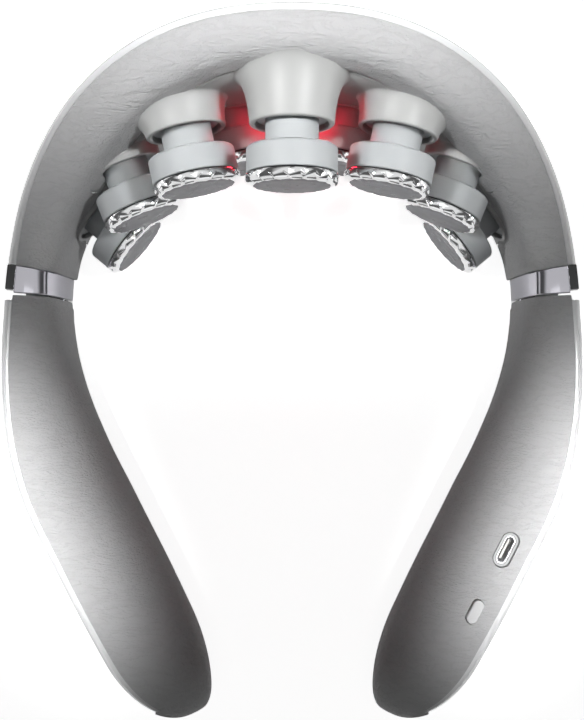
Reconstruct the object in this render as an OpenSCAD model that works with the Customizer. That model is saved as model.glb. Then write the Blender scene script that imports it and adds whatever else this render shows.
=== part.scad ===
// Neck massager: a U-shaped collar of a padded yoke and two sprung arms, with nine floating heads.
// Millimetres. +Z up, +Y to the nape, origin on the table under the middle of the collar.

/* [Collar plan] */
// Half width of the collar, to the middle of its wall
collar_half_w = 80.2; // [74:0.1:88]
// Depth of the yoke, from its widest place to the nape
yoke_depth = 68.4; // [62:0.1:76]
// Squareness of the yoke's curve, where 2 is an ellipse
yoke_square = 2.24; // [2.1:0.02:2.6]
// Place of the widest section, front to back
wide_y = 26.4; // [20:0.1:32]
// Radius of the bend where an arm turns in
arm_bend_r = 127; // [110:1:145]
// How far an arm turns in, in degrees
arm_bend = 27; // [20:0.5:32]
// Straight length of an arm after its bend
arm_straight = 78; // [74:1:88]

/* [Heights and walls] */
// Height of the yoke at the nape
back_h = 96; // [92:0.5:106]
// Height of the arms
arm_h = 38; // [36:0.5:46]
// Wall of the yoke at the nape
yoke_t = 10; // [9.6:0.1:12]
// Wall of the yoke at its sides
side_t = 13; // [12.4:0.1:15]
// Thickness of an arm at its middle
arm_t = 28.5; // [27:0.5:33]
// Rounded nose at the end of an arm
nose_len = 29; // [25:0.5:32]
// Shift of the nose's tip towards the neck
nose_v = 2.4; // [0:0.1:4]
// Wall of the outer shells
shell_t = 2.6; // [2:0.1:3]
// Outward swell of the outer shells
shell_swell = 3; // [1:0.1:4]
// Inward swell of the padded face of the yoke
face_swell = 3.5; // [2.5:0.1:4]
// Padding over the arms
pad_t = 4; // [3:0.1:5]
// Padding over the yoke's frame
yoke_pad_t = 2.4; // [1.8:0.1:3]
// Height of the leather edge above the shell's rim
crest = 0.8; // [0.3:0.1:1.5]
// Gap between neighbouring fixed pieces
seam_gap = 0.2; // [0.1:0.05:0.3]

/* [Head panel] */
// Thickness of the silicone panel
panel_t = 2; // [1.4:0.1:2.2]
// Lower edge of the panel above the table
panel_low = 3; // [2:0.5:5]
// Leather above the panel at the nape
seam_drop = 12; // [9:0.5:14]
// Added leather above the panel at its sides
seam_drop_side = 11; // [8:0.5:14]
// End of the panel round the yoke, in degrees of the plan curve
panel_end = 69.3; // [68:0.1:72]
// Thickness of the frame behind the panel
frame_t = 2.4; // [1.8:0.1:2.6]

/* [Massage heads] */
// Diameter of the ring that holds a disc
ring_d = 24; // [22:0.2:25]
// Height of the ring
ring_h = 7; // [6:0.2:8]
// Rounding of the ring's rear edge
ring_round = 1; // [0.4:0.1:1.5]
// Diameter of the stem
stem_d = 14; // [12:0.2:14.4]
// Wall of the hollow stem
stem_wall = 1.7; // [1.2:0.1:2]
// Stem that shows between ring and skirt at rest
stem_show = 5.6; // [5:0.1:7]
// Travel of a head when it is pressed in
head_travel = 3.5; // [2:0.1:3.6]
// Outer diameter of a skirt's lip
skirt_d = 22.4; // [21:0.2:23.4]
// Wall of a skirt at its lip
skirt_t = 1.4; // [1:0.1:1.6]
// Outer diameter of a guide sleeve
sleeve_d = 18.4; // [17.8:0.1:18.8]
// Depth of a sleeve behind the face of the panel
sleeve_back = 8.2; // [8:0.1:8.6]
// Floor of a sleeve
sleeve_floor = 1.2; // [0.8:0.1:1.4]
// Diameter of the chrome disc
disc_d = 24.4; // [23:0.2:25.4]
// Height of the disc over the ring
disc_h = 3.5; // [2.6:0.1:4]
// Flat at the middle of the disc
disc_flat_d = 16; // [13:0.2:18]
// Swirl cuts round the edge of a disc
swirl_cuts = 18; // [12:1:24]
// Dark gap between ring and disc
disc_gap = 0.3; // [0.2:0.05:0.5]
// Wire of a head's return spring
spring_wire = 0.9; // [0.6:0.1:1]
// Turns of a head's return spring
spring_turns = 4; // [3:1:5]

/* [Lamp] */
// Diameter of the red lamp lens
lamp_d = 12; // [9:0.5:13]
// Height of the lamp above the table
lamp_z = 54; // [52:0.5:55]
// How far the lens stands out
lamp_rise = 1.8; // [1:0.1:2.5]

/* [Arm hinges] */
// Place of the bands round the yoke, in degrees of the plan curve
band_at = 83.3; // [82.5:0.1:83.6]
// Length of a chrome band along the collar
band_len = 8; // [7.4:0.1:8.6]
// Wall of a chrome band
band_t = 1.6; // [1.2:0.1:2]
// Gap between a band and its arm
arm_gap = 0.5; // [0.45:0.05:0.8]
// Extra gap at the arm's shell, which turns towards the hinge block
shell_end_gap = 1.3; // [1.2:0.1:1.8]
// Diameter of a hinge pin
pin_d = 2.4; // [2:0.1:2.6]
// Radial running clearance of the pins
pin_fit = 0.05; // [0.03:0.01:0.08]
// Diameter of a hinge knuckle
knuckle_d = 5.2; // [4.6:0.1:5.6]
// Wire of a torsion spring
torsion_wire = 0.7; // [0.5:0.05:0.8]

/* [Right arm fittings] */
// Place of the USB-C socket along the straight part of the arm
usb_at = 13.1; // [11:0.1:16]
// Place of the power button along the straight part of the arm
button_at = 34; // [32:0.5:36]
// Distance of the fittings from the arm's middle, towards the rim
fitting_v = 4.9; // [4:0.1:5.2]
// Length of the USB-C shell
usb_w = 9; // [8.94:0.01:9.2]
// Width of the USB-C shell
usb_h = 3.2; // [3.16:0.01:3.4]
// Sheet of the USB-C shell
usb_sheet = 0.3; // [0.25:0.05:0.4]
// Rim of the bezel round the socket
bezel_rim = 1.1; // [0.8:0.1:1.3]
// Length of the power button
button_l = 7.6; // [7:0.1:8]
// Width of the power button
button_w = 3.4; // [3:0.1:3.6]
// How far the button stands out of the leather
button_rise = 1.7; // [1.4:0.1:2]
// Travel of the power button
button_travel = 0.6; // [0.3:0.05:0.6]
// Thickness of the main board
board_t = 1.6; // [1:0.1:2]

/* [Left arm fittings] */
// Diameter of the battery
battery_d = 14; // [12:0.5:14.5]
// Length of the battery
battery_l = 46; // [38:1:48]

/* [Hidden] */

$fn = 64;
WHITE = [0.95, 0.95, 0.96];
LEATHER = [0.78, 0.78, 0.79];
SILICONE = [0.62, 0.63, 0.64];
GREY = [0.72, 0.74, 0.76];
CHROME = [0.86, 0.86, 0.88];
BLACK = [0.06, 0.06, 0.07];
STEEL = [0.7, 0.7, 0.72];

// Smooth step from 0 at a to 1 at b
function ease(a, b, x) = let (q = min(1, max(0, (x - a) / (b - a)))) q * q * (3 - 2 * q);
function signed_pow(x, e) = sign(x) * pow(abs(x), e);

// Plan curve of the wall's middle: degrees of a squared ellipse up to 90, then millimetres along an arm
bend_len = arm_bend_r * arm_bend * PI / 180;
arm_end = 90 + bend_len + arm_straight;
function arm_bend_point(deg) = [
    collar_half_w - arm_bend_r * (1 - cos(deg)),
    wide_y - arm_bend_r * sin(deg)];
function arm_point(m) = m <= bend_len
    ? arm_bend_point(m / bend_len * arm_bend)
    : arm_bend_point(arm_bend) - (m - bend_len) * [sin(arm_bend), cos(arm_bend)];
function spine(p) = abs(p) > 90
    ? let (q = arm_point(abs(p) - 90)) [sign(p) * q.x, q.y]
    : [collar_half_w * signed_pow(sin(p), 2 / yoke_square),
       wide_y + yoke_depth * pow(cos(p), 2 / yoke_square)];
function along(p) = let (d = spine(p + 0.05) - spine(p - 0.05)) d / norm(d);
function inward(p) = let (d = along(p)) [d.y, -d.x];
function degrees_per_mm(p) = 0.1 / norm(spine(p + 0.05) - spine(p - 0.05));

// Height and thickness of the wall along the plan curve
function top_z(p) = arm_h + (abs(p) < 90 ? (back_h - arm_h) * pow(cos(p), 2) : 0);
function wall(p) = yoke_t + (side_t - yoke_t) * ease(0, 45, abs(p))
    + (arm_t - side_t) * ease(73, 155, abs(p)) - arm_t * 0.12 * ease(175, arm_end, abs(p));
function swell(p, z) = shell_swell * sin(180 * min(1, max(0, z / top_z(p))));
// A point of the wall: v counts from its middle towards the neck
function at(p, v, z) = let (s = spine(p) + inward(p) * v) [s.x, s.y, z];
function inner(p) = wall(p) / 2;
// Padded face towards the neck, fullest above the middle of its height and level with the bands at its ends
function face(p, z) = inner(p) + face_swell * (1 - ease(46, 74, abs(p)))
    * sin(180 * pow(min(1, max(0, z / top_z(p))), 2.2));
function rim(p) = -wall(p) / 2;
// Face where padding and inner parts meet the shell
function lining(p) = rim(p) + shell_t + seam_gap;
function seam_z(p) = abs(p) >= panel_end ? panel_low : panel_low
    + (top_z(p) - seam_drop - seam_drop_side * ease(0, 50, abs(p)) - panel_low)
    * sqrt(1 - pow(abs(p) / panel_end, 6));

// Stations along the collar
band_half = band_len / 2 * degrees_per_mm(band_at);
yoke_end = band_at - band_half;
arm_start = band_at + band_half + arm_gap * degrees_per_mm(band_at);
function steps(a, b, n) = [for (i = [0 : n]) a + (b - a) * i / n];

// A solid through rings of equal counts: each ring runs along one face of a wall and back along the other
module loft(rings) {
    n = len(rings[0]);
    last = len(rings) - 1;
    points = [for (r = rings) each r];
    sides = [for (i = [0 : last - 1]) for (j = [0 : n - 1])
        let (a = i * n + j, b = i * n + (j + 1) % n)
        each [[a, b, b + n], [a, b + n, a + n]]];
    first_cap = [for (j = [0 : n / 2 - 2]) each [[j, n - 1 - j, n - 2 - j], [j, n - 2 - j, j + 1]]];
    end = last * n;
    last_cap = [for (j = [0 : n / 2 - 2])
        each [[end + j, end + j + 1, end + n - 2 - j], [end + j, end + n - 2 - j, end + n - 1 - j]]];
    polyhedron(points, concat(first_cap, sides, last_cap), convexity = 10);
}
// A section given as [v, z] pairs, set up at place p
function ring(p, section) = [for (q = section) at(p, q[0], q[1])];
module half_turn(side) {
    if (side < 0) mirror([1, 0, 0]) children();
    else children();
}
// Local frame of the wall at p: X along the collar, Y towards the neck
module on_wall(p, v = 0, z = 0) {
    d = along(p);
    translate(at(p, v, z))
        rotate([0, 0, atan2(d.y, d.x)])
        mirror([0, 1, 0])
        children();
}
module obround(l, w, h) {
    linear_extrude(h)
        union() {
            square([l - w, w], center = true);
            translate([(l - w) / 2, 0]) circle(d = w);
            translate([-(l - w) / 2, 0]) circle(d = w);
        }
}
// A coil of round wire along Z, from its first to its last turn
module coil(mean_r, wire, height, turns) {
    per_turn = 8;
    sides = 6;
    rise = (height - wire) / (turns * per_turn);
    loft([for (i = [0 : turns * per_turn])
        let (turn = 360 * i / per_turn, z = wire / 2 + rise * i)
        [for (k = [0 : sides - 1])
            let (r = mean_r + wire / 2 * cos(360 * k / sides))
            [r * cos(turn), r * sin(turn), z + wire / 2 * sin(360 * k / sides)]]]);
}

// The massage heads: name, place p, height, free skirt length, turn of the axis
HEADS = [
    ["centre", 0, 78, 13.1, 0],
    ["upper", 21.92, 64, 6.9, 12],
    ["side", 41.97, 43, 2.4, 22],
    ["end", 58.17, 18, 2.8, 50],
    ["low", 12.87, 41, 1.55, 14]];
SIDES = [["left", -1], ["right", 1]];
ALL_HEADS = [for (h = HEADS) each (h[1] == 0 ? [[h[0], 1, h]]
    : [for (s = SIDES) [str(h[0], "_", s[0]), s[1], h]])];
function head_place(h) = h[1];
function head_z(h) = h[2];
function skirt_free(h) = h[3];
function head_turn(h) = h[4];
lip_back = ring_h + stem_show;
function head_axis(h) = [-sin(head_turn(h)), -cos(head_turn(h)), 0];
function head_foot(h) = at(head_place(h), face(head_place(h), head_z(h)), head_z(h));
function head_origin(h) = head_foot(h) + (lip_back + skirt_free(h)) * head_axis(h);
// Local frame of a head: Z along its axis towards the neck, zero where disc and ring meet
module at_head(side, h) {
    half_turn(side)
        translate(head_origin(h))
        rotate([0, 0, -head_turn(h)])
        rotate([90, 0, 0])
        children();
}
stem_r = stem_d / 2;
sleeve_lip = 1.4;
sleeve_fit = 0.08;
sleeve_front = -lip_back - sleeve_lip;
function sleeve_rear(h) = -lip_back - skirt_free(h) - sleeve_back;
function sleeve_seat(h) = sleeve_rear(h) + sleeve_floor;
flange_t = 1.2;
flange_r = stem_r + 0.8;
flange_fit = 0.2;
stop_gap = 0.3;
function stem_rear(h) = sleeve_seat(h) + head_travel + stop_gap;
disc_spigot_r = 8;
disc_spigot_l = 2.2;
web_t = 1.6;
hollow_front = -disc_spigot_l - web_t;

module head_bores(d) {
    for (k = ALL_HEADS)
        at_head(k[1], k[2])
            translate([0, 0, sleeve_rear(k[2]) - 1])
            cylinder(d = d, h = skirt_free(k[2]) + sleeve_back + 4);
}

module skirt(side, h) {
    r = skirt_d / 2;
    flare = 0.4 + 0.27 * skirt_free(h);
    rear = -lip_back - skirt_free(h);
    sunk = 5;
    // Flare profile, a quarter turn that grows out of the straight lip
    reach = min(skirt_free(h) * 0.8, 3 * flare);
    curve = [for (i = [0 : 6]) let (q = 15 * i) [r + flare * (1 - cos(q)), rear + reach * (1 - sin(q))]];
    color(SILICONE)
    difference() {
        at_head(side, h)
            rotate_extrude()
            polygon(concat(
                [[r - skirt_t, rear - sunk], [r - skirt_t, -lip_back - 0.5],
                 [r - skirt_t / 2, -lip_back], [r - 0.4, -lip_back - 0.2], [r, -lip_back - 0.8]],
                curve,
                [[r + flare, rear - sunk]]));
        half_turn(side) wall_fill(head_place(h));
    }
}
// The wall behind the face of the panel, near one head
module wall_fill(p) {
    spread = 16;
    past = 20;
    levels = [0, 0.15, 0.3, 0.42, 0.53, 0.63, 0.73, 0.83, 0.92, 1];
    loft([for (q = steps(p - spread, p + spread, 14))
        let (heights = concat([-past], levels * top_z(q), [back_h + past]), n = len(heights))
        ring(q, concat([for (z = heights) [face(q, z) + seam_gap / 2, z]],
            [for (i = [n - 1 : -1 : 0]) [rim(q), heights[i]]]))]);
}

module cup(side, h) {
    r = ring_d / 2;
    rear = stem_rear(h);
    color(GREY)
    at_head(side, h)
    difference() {
        rotate_extrude()
            polygon(concat(
                [[0, 0], [r, 0], [r, -ring_h + ring_round]],
                [for (q = [30, 60]) [r - ring_round * (1 - cos(q)), -ring_h + ring_round * (1 - sin(q))]],
                [[r - ring_round, -ring_h], [stem_r, -ring_h], [stem_r, rear + flange_t],
                 [flange_r, rear + flange_t], [flange_r, rear], [0, rear]]));
        translate([0, 0, -disc_spigot_l]) cylinder(r = disc_spigot_r, h = disc_spigot_l + 1);
        translate([0, 0, rear - 1]) cylinder(r = stem_r - stem_wall, h = hollow_front - rear + 1);
    }
}

module disc(side, h) {
    r = disc_d / 2;
    flat_r = disc_flat_d / 2;
    edge = [for (i = [0 : 5]) let (q = 18 * i)
        [flat_r + (r - flat_r) * cos(q), disc_gap + 0.5 + (disc_h - disc_gap - 0.5) * sin(q)]];
    color(CHROME)
    at_head(side, h)
    difference() {
        rotate_extrude()
            polygon(concat(
                [[0, -disc_spigot_l + seam_gap / 2],
                 [disc_spigot_r - pin_fit, -disc_spigot_l + seam_gap / 2],
                 [disc_spigot_r - pin_fit, disc_gap], [r, disc_gap]],
                edge, [[0, disc_h]]));
        for (i = [0 : swirl_cuts - 1])
            rotate([0, 0, 360 * i / swirl_cuts])
            translate([(r + flat_r) / 2 + 0.9, 0, disc_h - 0.1])
            rotate([18, 38, 38])
            cube([6, 1.7, 1.5], center = true);
    }
}

// Nine return springs, each in its hollow stem between the sleeve's floor and the web of the cup
module head_springs() {
    play = 0.1;
    color(STEEL)
    for (k = ALL_HEADS)
        at_head(k[1], k[2])
            translate([0, 0, sleeve_seat(k[2]) + play])
            coil(stem_r - stem_wall - spring_wire, spring_wire,
                hollow_front - sleeve_seat(k[2]) - 2 * play, spring_turns);
}

// Outer shells
shell_levels = [0, 0.1, 0.28, 0.5, 0.72, 0.9, 1];
function shell_section(p, top) = concat(
    [for (q = shell_levels) [rim(p) + shell_t - swell(p, q * top), q * top]],
    [for (i = [6 : -1 : 0]) let (z = shell_levels[i] * top) [rim(p) - swell(p, z), z]]);
yoke_stations = steps(-yoke_end, yoke_end, 40);
screw_d = 2;
screw_head_d = 4;
screw_head_h = 1.3;
screw_grip = 1.8;
post_d = 5;
// Drop of the leather's underside below the rim, at the shell and at the frame
pad_root_back = 6;
pad_root_front = 8;
// Place and height of the yoke's screws; the last pair lies under the leather, at a whole millimetre
pad_screw_gap = 0.5;
rim_screw_at = 64.5;
SCREW_PLACES = [[32, 16], [46.5, 12],
    [rim_screw_at, floor(top_z(rim_screw_at) - pad_root_front - screw_head_d / 2 - pad_screw_gap)]];
function shell_face(p, z) = rim(p) + shell_t - swell(p, z);
frame_front = yoke_pad_t + 0.1;
module screw(p, z, head_v, tip_v) {
    on_wall(p, 0, z)
        rotate([-90, 0, 0])
        union() {
            translate([0, 0, head_v - screw_head_h]) cylinder(d = screw_head_d, h = screw_head_h);
            translate([0, 0, tip_v]) cylinder(d = screw_d, h = head_v - tip_v - screw_head_h / 2);
        }
}
// Room round a screw: its shank, and its head where it is let in
module screw_room(p, z, head_v, tip_v, fit) {
    on_wall(p, 0, z)
        rotate([-90, 0, 0])
        union() {
            translate([0, 0, head_v - screw_head_h]) cylinder(d = screw_head_d + 0.4, h = 10);
            translate([0, 0, tip_v]) cylinder(d = screw_d + 2 * fit, h = head_v - tip_v);
        }
}
function screw_head_v(p) = inner(p) - frame_front - 0.2;
function screw_tip_v(p, z) = shell_face(p, z) - screw_grip;

module rear_shell() {
    color(WHITE)
    difference() {
        loft([for (p = yoke_stations) ring(p, shell_section(p, top_z(p)))]);
        for (s = [-1, 1], q = SCREW_PLACES)
            half_turn(s)
            on_wall(q[0], screw_tip_v(q[0], q[1]) - 0.1, q[1])
            rotate([-90, 0, 0])
            cylinder(d = screw_d + 2 * pin_fit, h = screw_grip + shell_swell + 2);
    }
}
module yoke_screws() {
    color(STEEL)
    for (s = [-1, 1], q = SCREW_PLACES)
        half_turn(s) screw(q[0], q[1], screw_head_v(q[0]), screw_tip_v(q[0], q[1]));
}

// Leather over the yoke's rim, down to the seam of the panel
pad_turn = 7;
function pad_low(p) = min(seam_z(p), top_z(p) - pad_turn - 2);
function yoke_pad_face(p) = let (
        t = top_z(p), a = face(p, t - pad_turn), b = lining(p), low = pad_low(p)) concat(
    [for (q = [0 : 0.25 : 1]) let (z = low + (t - pad_turn - low) * q) [face(p, z), z]],
    [[face(p, t - 4) - 0.7, t - 4], [face(p, t - 1.4) - 2.2, t - 1.4],
     [(a * 2 + b) / 3 - 0.6, t + crest * 0.8], [(a + b) / 2 - 0.6, t + crest],
     [b + 1, t + crest * 0.6], [b, t - 0.6]]);
function yoke_pad_back(p) = let (t = top_z(p), a = inner(p) - yoke_pad_t, b = lining(p), low = pad_low(p))
    concat([for (q = [0 : 5]) [b + (a - b) * q / 5, t - pad_root_back - (pad_root_front - pad_root_back) * q / 5]],
        [for (q = [1 : 5]) [a, t - pad_root_front + (low - t + pad_root_front) * q / 5]]);
function yoke_pad_section(p) = concat(yoke_pad_face(p), yoke_pad_back(p));
module yoke_pad() {
    color(LEATHER)
    difference() {
        loft([for (p = yoke_stations) ring(p, yoke_pad_section(p))]);
        head_bores(sleeve_d + 2 * seam_gap);
    }
}
module head_panel() {
    color(SILICONE)
    difference() {
        loft([for (p = steps(-panel_end + 0.4, panel_end - 0.4, 44))
            let (back = inner(p) - panel_t, top = seam_z(p) - seam_gap)
            ring(p, concat([for (z = steps(panel_low, top, 6)) [face(p, z), z]],
                [for (z = steps(top, panel_low, 6)) [back, z]]))]);
        head_bores(sleeve_d + 2 * seam_gap);
        lamp_bore(lamp_d + 2 * seam_gap);
    }
}
frame_low = panel_low - 0.4;
frame_top_drop = 8.5;
flange_h = 2;
function frame_section(p) = let (f = inner(p) - frame_front, b = f - frame_t,
        s = max(lining(p), shell_face(p, frame_low) + seam_gap), t = top_z(p) - frame_top_drop) [
    [s, frame_low], [f, frame_low], [f, t], [s, t],
    [s, t - flange_h], [b, t - flange_h], [b, frame_low + flange_h], [s, frame_low + flange_h]];
module yoke_frame() {
    color(GREY)
    difference() {
        union() {
            loft([for (p = steps(-yoke_end + 1, yoke_end - 1, 40)) ring(p, frame_section(p))]);
            for (k = ALL_HEADS)
                at_head(k[1], k[2])
                translate([0, 0, sleeve_rear(k[2])])
                cylinder(d = sleeve_d, h = sleeve_front - sleeve_rear(k[2]));
            for (s = [-1, 1], q = SCREW_PLACES)
                half_turn(s)
                on_wall(q[0], shell_face(q[0], q[1]) + seam_gap, q[1])
                rotate([-90, 0, 0])
                cylinder(d = post_d,
                    h = inner(q[0]) - frame_front - 0.5 - shell_face(q[0], q[1]) - seam_gap);
        }
        for (k = ALL_HEADS)
            at_head(k[1], k[2])
            union() {
                translate([0, 0, sleeve_seat(k[2])])
                    cylinder(r = flange_r + flange_fit,
                        h = stem_rear(k[2]) + flange_t + 0.1 - sleeve_seat(k[2]));
                translate([0, 0, sleeve_seat(k[2])])
                    cylinder(r = stem_r + sleeve_fit, h = 60);
            }
        for (s = [-1, 1], q = SCREW_PLACES)
            half_turn(s)
            screw_room(q[0], q[1], screw_head_v(q[0]), screw_tip_v(q[0], q[1]) - 1, 0.1);
        lamp_bore(lamp_d - 3);
    }
}

// Red lamp in the middle of the panel, above the two lower heads
lamp_out = face(0, lamp_z) - inner(0);
module at_lamp() {
    translate([0, at(0, inner(0), 0).y, lamp_z]) rotate([90, 0, 0]) children();
}
module lamp_bore(d) {
    at_lamp() translate([0, 0, -12]) cylinder(d = d, h = 20);
}
module lamp_lens() {
    r = lamp_d / 2;
    color([0.8, 0.05, 0.08])
    at_lamp()
        rotate_extrude()
        polygon(concat([[0, -panel_t], [r, -panel_t], [r, lamp_out]],
            [for (q = [30, 60]) [r * cos(q), lamp_out + lamp_rise * sin(q)]],
            [[0, lamp_out + lamp_rise]]));
}
module lamp_board() {
    color([0.1, 0.35, 0.2])
    at_lamp()
        union() {
            translate([0, 0, -frame_front - frame_t]) cylinder(d = lamp_d - 3.4, h = 1.2);
            translate([-1.5, -1.5, -frame_front - frame_t + 1])
                cube([3, 3, frame_t + frame_front - panel_t - 1.1]);
        }
}

// Bands and hinges
function lobe(p, v0, a, half_h, e, n) = [for (i = [0 : n]) let (q = -90 + 180 * i / n)
    [v0 + (a - v0) * pow(max(0, cos(q)), 2 / e), pad_mid(p) + half_h * signed_pow(sin(q), 2 / e)]];
pad_foot = 0.4;
function pad_mid(p) = (top_z(p) + crest + pad_foot) / 2;
function pad_half(p) = (top_z(p) + crest - pad_foot) / 2;
function roundness(p) = 4 - 1.6 * ease(85, 130, p);
function pad_section(p, t) = let (v0 = lining(p), e = roundness(p), n = 12, h = pad_half(p)) concat(
    lobe(p, v0, inner(p), h, e, n),
    [for (i = [n : -1 : 0]) lobe(p, v0, inner(p) - t, h - t, e, n)[i]]);
module band(side) {
    color(CHROME)
    half_turn(side)
        loft([for (p = steps(yoke_end + seam_gap * degrees_per_mm(band_at), band_at + band_half, 3))
            ring(p, pad_section(p, band_t))]);
}
hinge_v = rim(band_at) + 4;
hinge_fwd = 0.8;
slot_low = 9;
slot_high = 30;
knuckle_high = 23;
block_v = hinge_v + knuckle_d / 2 + 0.6;
module at_hinge() {
    on_wall(band_at, hinge_v) translate([hinge_fwd, 0, 0]) children();
}
module hinge_block(side) {
    start = yoke_end + seam_gap * degrees_per_mm(band_at);
    end = band_at + (band_len / 2 - 1) * degrees_per_mm(band_at);
    front = hinge_fwd - knuckle_d / 2 - 0.4;
    color(BLACK)
    half_turn(side)
    difference() {
        loft([for (p = steps(start, end, 3))
            let (top = top_z(p), low = 0.4, high = top - 0.3, v = lining(p) - seam_gap)
            ring(p, concat(
                [[v, low], [v, pad_t], [block_v, pad_t + 0.6], [block_v, top / 2],
                 [block_v, top - pad_t - 0.6], [v, top - pad_t], [v, high]],
                [for (z = [high, top - pad_t, top * 0.72, top / 2, top * 0.28, pad_t, low])
                    [rim(p) - swell(p, z), z]]))]);
        on_wall(band_at, hinge_v, slot_low)
            translate([front, -20, 0])
            cube([20, 40, slot_high - slot_low]);
        at_hinge() translate([0, 0, pad_t / 2]) cylinder(d = pin_d + 2 * pin_fit, h = 60);
    }
}
module hinge_pin(side) {
    color(STEEL)
    half_turn(side)
        at_hinge() translate([0, 0, pad_t / 2 + 0.5]) cylinder(d = pin_d, h = arm_h - pad_t - 1);
}
module torsion_spring(side) {
    color(STEEL)
    half_turn(side)
        at_hinge() translate([0, 0, knuckle_high + 0.4])
        coil(pin_d / 2 + torsion_wire, torsion_wire, slot_high - knuckle_high - 0.8, 5);
}

// Arms
shell_end = arm_end - nose_len * 0.3;
function nose_place(q) = arm_end - nose_len * (1 - q);
arm_stations = concat(steps(arm_start, 90, 4), steps(96, 90 + bend_len, 8),
    steps(96 + bend_len, nose_place(0), 5), [for (q = [0.15, 0.28, 0.4, 0.51, 0.61, 0.7]) nose_place(q)]);
nose_stations = [for (q = [0.77, 0.83, 0.88, 0.92, 0.95, 0.975, 0.99, 0.998]) nose_place(q)];
// Shrink of the section in the rounded nose
function nose(p) = let (q = max(0, (p - (arm_end - nose_len)) / nose_len)) sqrt(max(0, 1 - q * q));
function shrink(section, p, v_mid) = let (g = nose(p), z_mid = top_z(p) / 2)
    [for (q = section) [v_mid + (q[0] - v_mid) * g, z_mid + (q[1] - z_mid) * g]];
module arm_shell(side) {
    gap = (arm_gap + shell_end_gap) * degrees_per_mm(band_at);
    start = band_at + band_half + gap;
    stations = concat([start], [for (p = arm_stations) if (p > start + 0.5 && p < shell_end - 3) p],
        steps(shell_end - 3, shell_end, 2));
    color(WHITE)
    half_turn(side)
    difference() {
        loft([for (p = stations) ring(p, shrink(shell_section(p, top_z(p)), p, nose_v))]);
        for (q = ARM_SCREWS)
            on_wall(q, shell_face(q, arm_screw_z) - screw_grip - 0.1, arm_screw_z)
            rotate([-90, 0, 0])
            cylinder(d = screw_d + 2 * pin_fit, h = screw_grip + shell_swell + 2);
    }
}
// Leather-covered arm pad: hollow as far as the arm's frame reaches, solid in the nose
hollow_end = arm_end - nose_len - 4;
function arm_pad_section(p) = let (
        n = 12, bare = p > shell_end, v0 = bare ? rim(p) : lining(p), e = roundness(p),
        h = pad_half(p), t = pad_t, hollow = 1 - 0.985 * ease(hollow_end - 1, hollow_end, p))
    concat(lobe(p, v0, inner(p), h, e, n),
        [for (i = [n : -1 : 0]) let (q = lobe(p, v0, inner(p) - t, h - t, e, n)[i])
            [v0 + (bare ? -swell(p, q[1]) : (q[0] - v0) * hollow), q[1]]]);
module arm_pad_body() {
    stations = concat([for (p = arm_stations) if (p < hollow_end - 3) p], [hollow_end - 1, hollow_end],
        [for (p = arm_stations) if (p > hollow_end + 2) p],
        [shell_end + 0.3], [for (p = nose_stations) if (p > shell_end + 0.8) p]);
    loft([for (p = stations) ring(p, shrink(arm_pad_section(p), p, nose_v))]);
}

// Arm frames: a spine plate against the shell, with the hinge knuckle at its end
plate_t = 2.5;
plate_low = 9;
plate_high = 29;
plate_start = arm_start + 2 * degrees_per_mm(band_at);
plate_end = hollow_end - 6;
ARM_SCREWS = [104, 90 + bend_len + arm_straight * 0.4];
arm_screw_z = 14;
function plate_face(p) = lining(p) + seam_gap + plate_t;
module plate_body() {
    between = [for (p = arm_stations) if (p > plate_start + 0.5 && p < plate_end - 2) p];
    loft([for (p = concat([plate_start], between, [plate_end]))
        let (f = plate_face(p), b = f - plate_t)
        ring(p, [[f, plate_low], [f, plate_high], [b, plate_high], [b, plate_low]])]);
}
module arm_frame(side) {
    web_v = knuckle_d * 0.8;
    color(GREY)
    half_turn(side)
    difference() {
        union() {
            plate_body();
            at_hinge() translate([0, 0, slot_low + 0.4])
                cylinder(d = knuckle_d, h = knuckle_high - slot_low - 0.4);
            at_hinge() translate([0, -web_v / 2 + 0.2, slot_low + 0.4])
                cube([band_len / 2 + 8, web_v - 0.4, knuckle_high - slot_low - 0.4]);
            children();
        }
        at_hinge() translate([0, 0, -1]) cylinder(d = pin_d + 0.04, h = 60);
        for (q = ARM_SCREWS)
            screw_room(q, arm_screw_z, plate_face(q) + 0.1, screw_tip_v(q, arm_screw_z) - 1, 0.1);
    }
}
module arm_screws(side) {
    color(STEEL)
    half_turn(side)
        for (q = ARM_SCREWS)
            screw(q, arm_screw_z, plate_face(q) + 0.1, screw_tip_v(q, arm_screw_z));
}

// Left arm: the battery on two saddles of the arm's frame
fittings_mid = 90 + bend_len + (usb_at + button_at) / 2;
battery_place = 90 + bend_len + 16;
battery_v = -0.5;
battery_z = arm_h / 2 - 0.5;
module battery_frame() {
    reach = plate_face(battery_place) - 0.5;
    difference() {
        for (m = [-0.3, 0.3])
            on_wall(battery_place, 0, plate_low + 1)
            translate([m * battery_l - 1.5, reach, 0])
            cube([3, battery_v - reach, plate_high - plate_low - 2]);
        battery_room(battery_d + 2 * seam_gap);
    }
}
module battery_room(d) {
    on_wall(battery_place, battery_v, battery_z)
        rotate([0, 90, 0])
        cylinder(d = d, h = battery_l, center = true);
}
module battery() {
    color([0.2, 0.35, 0.6]) mirror([1, 0, 0]) battery_room(battery_d);
}

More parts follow.
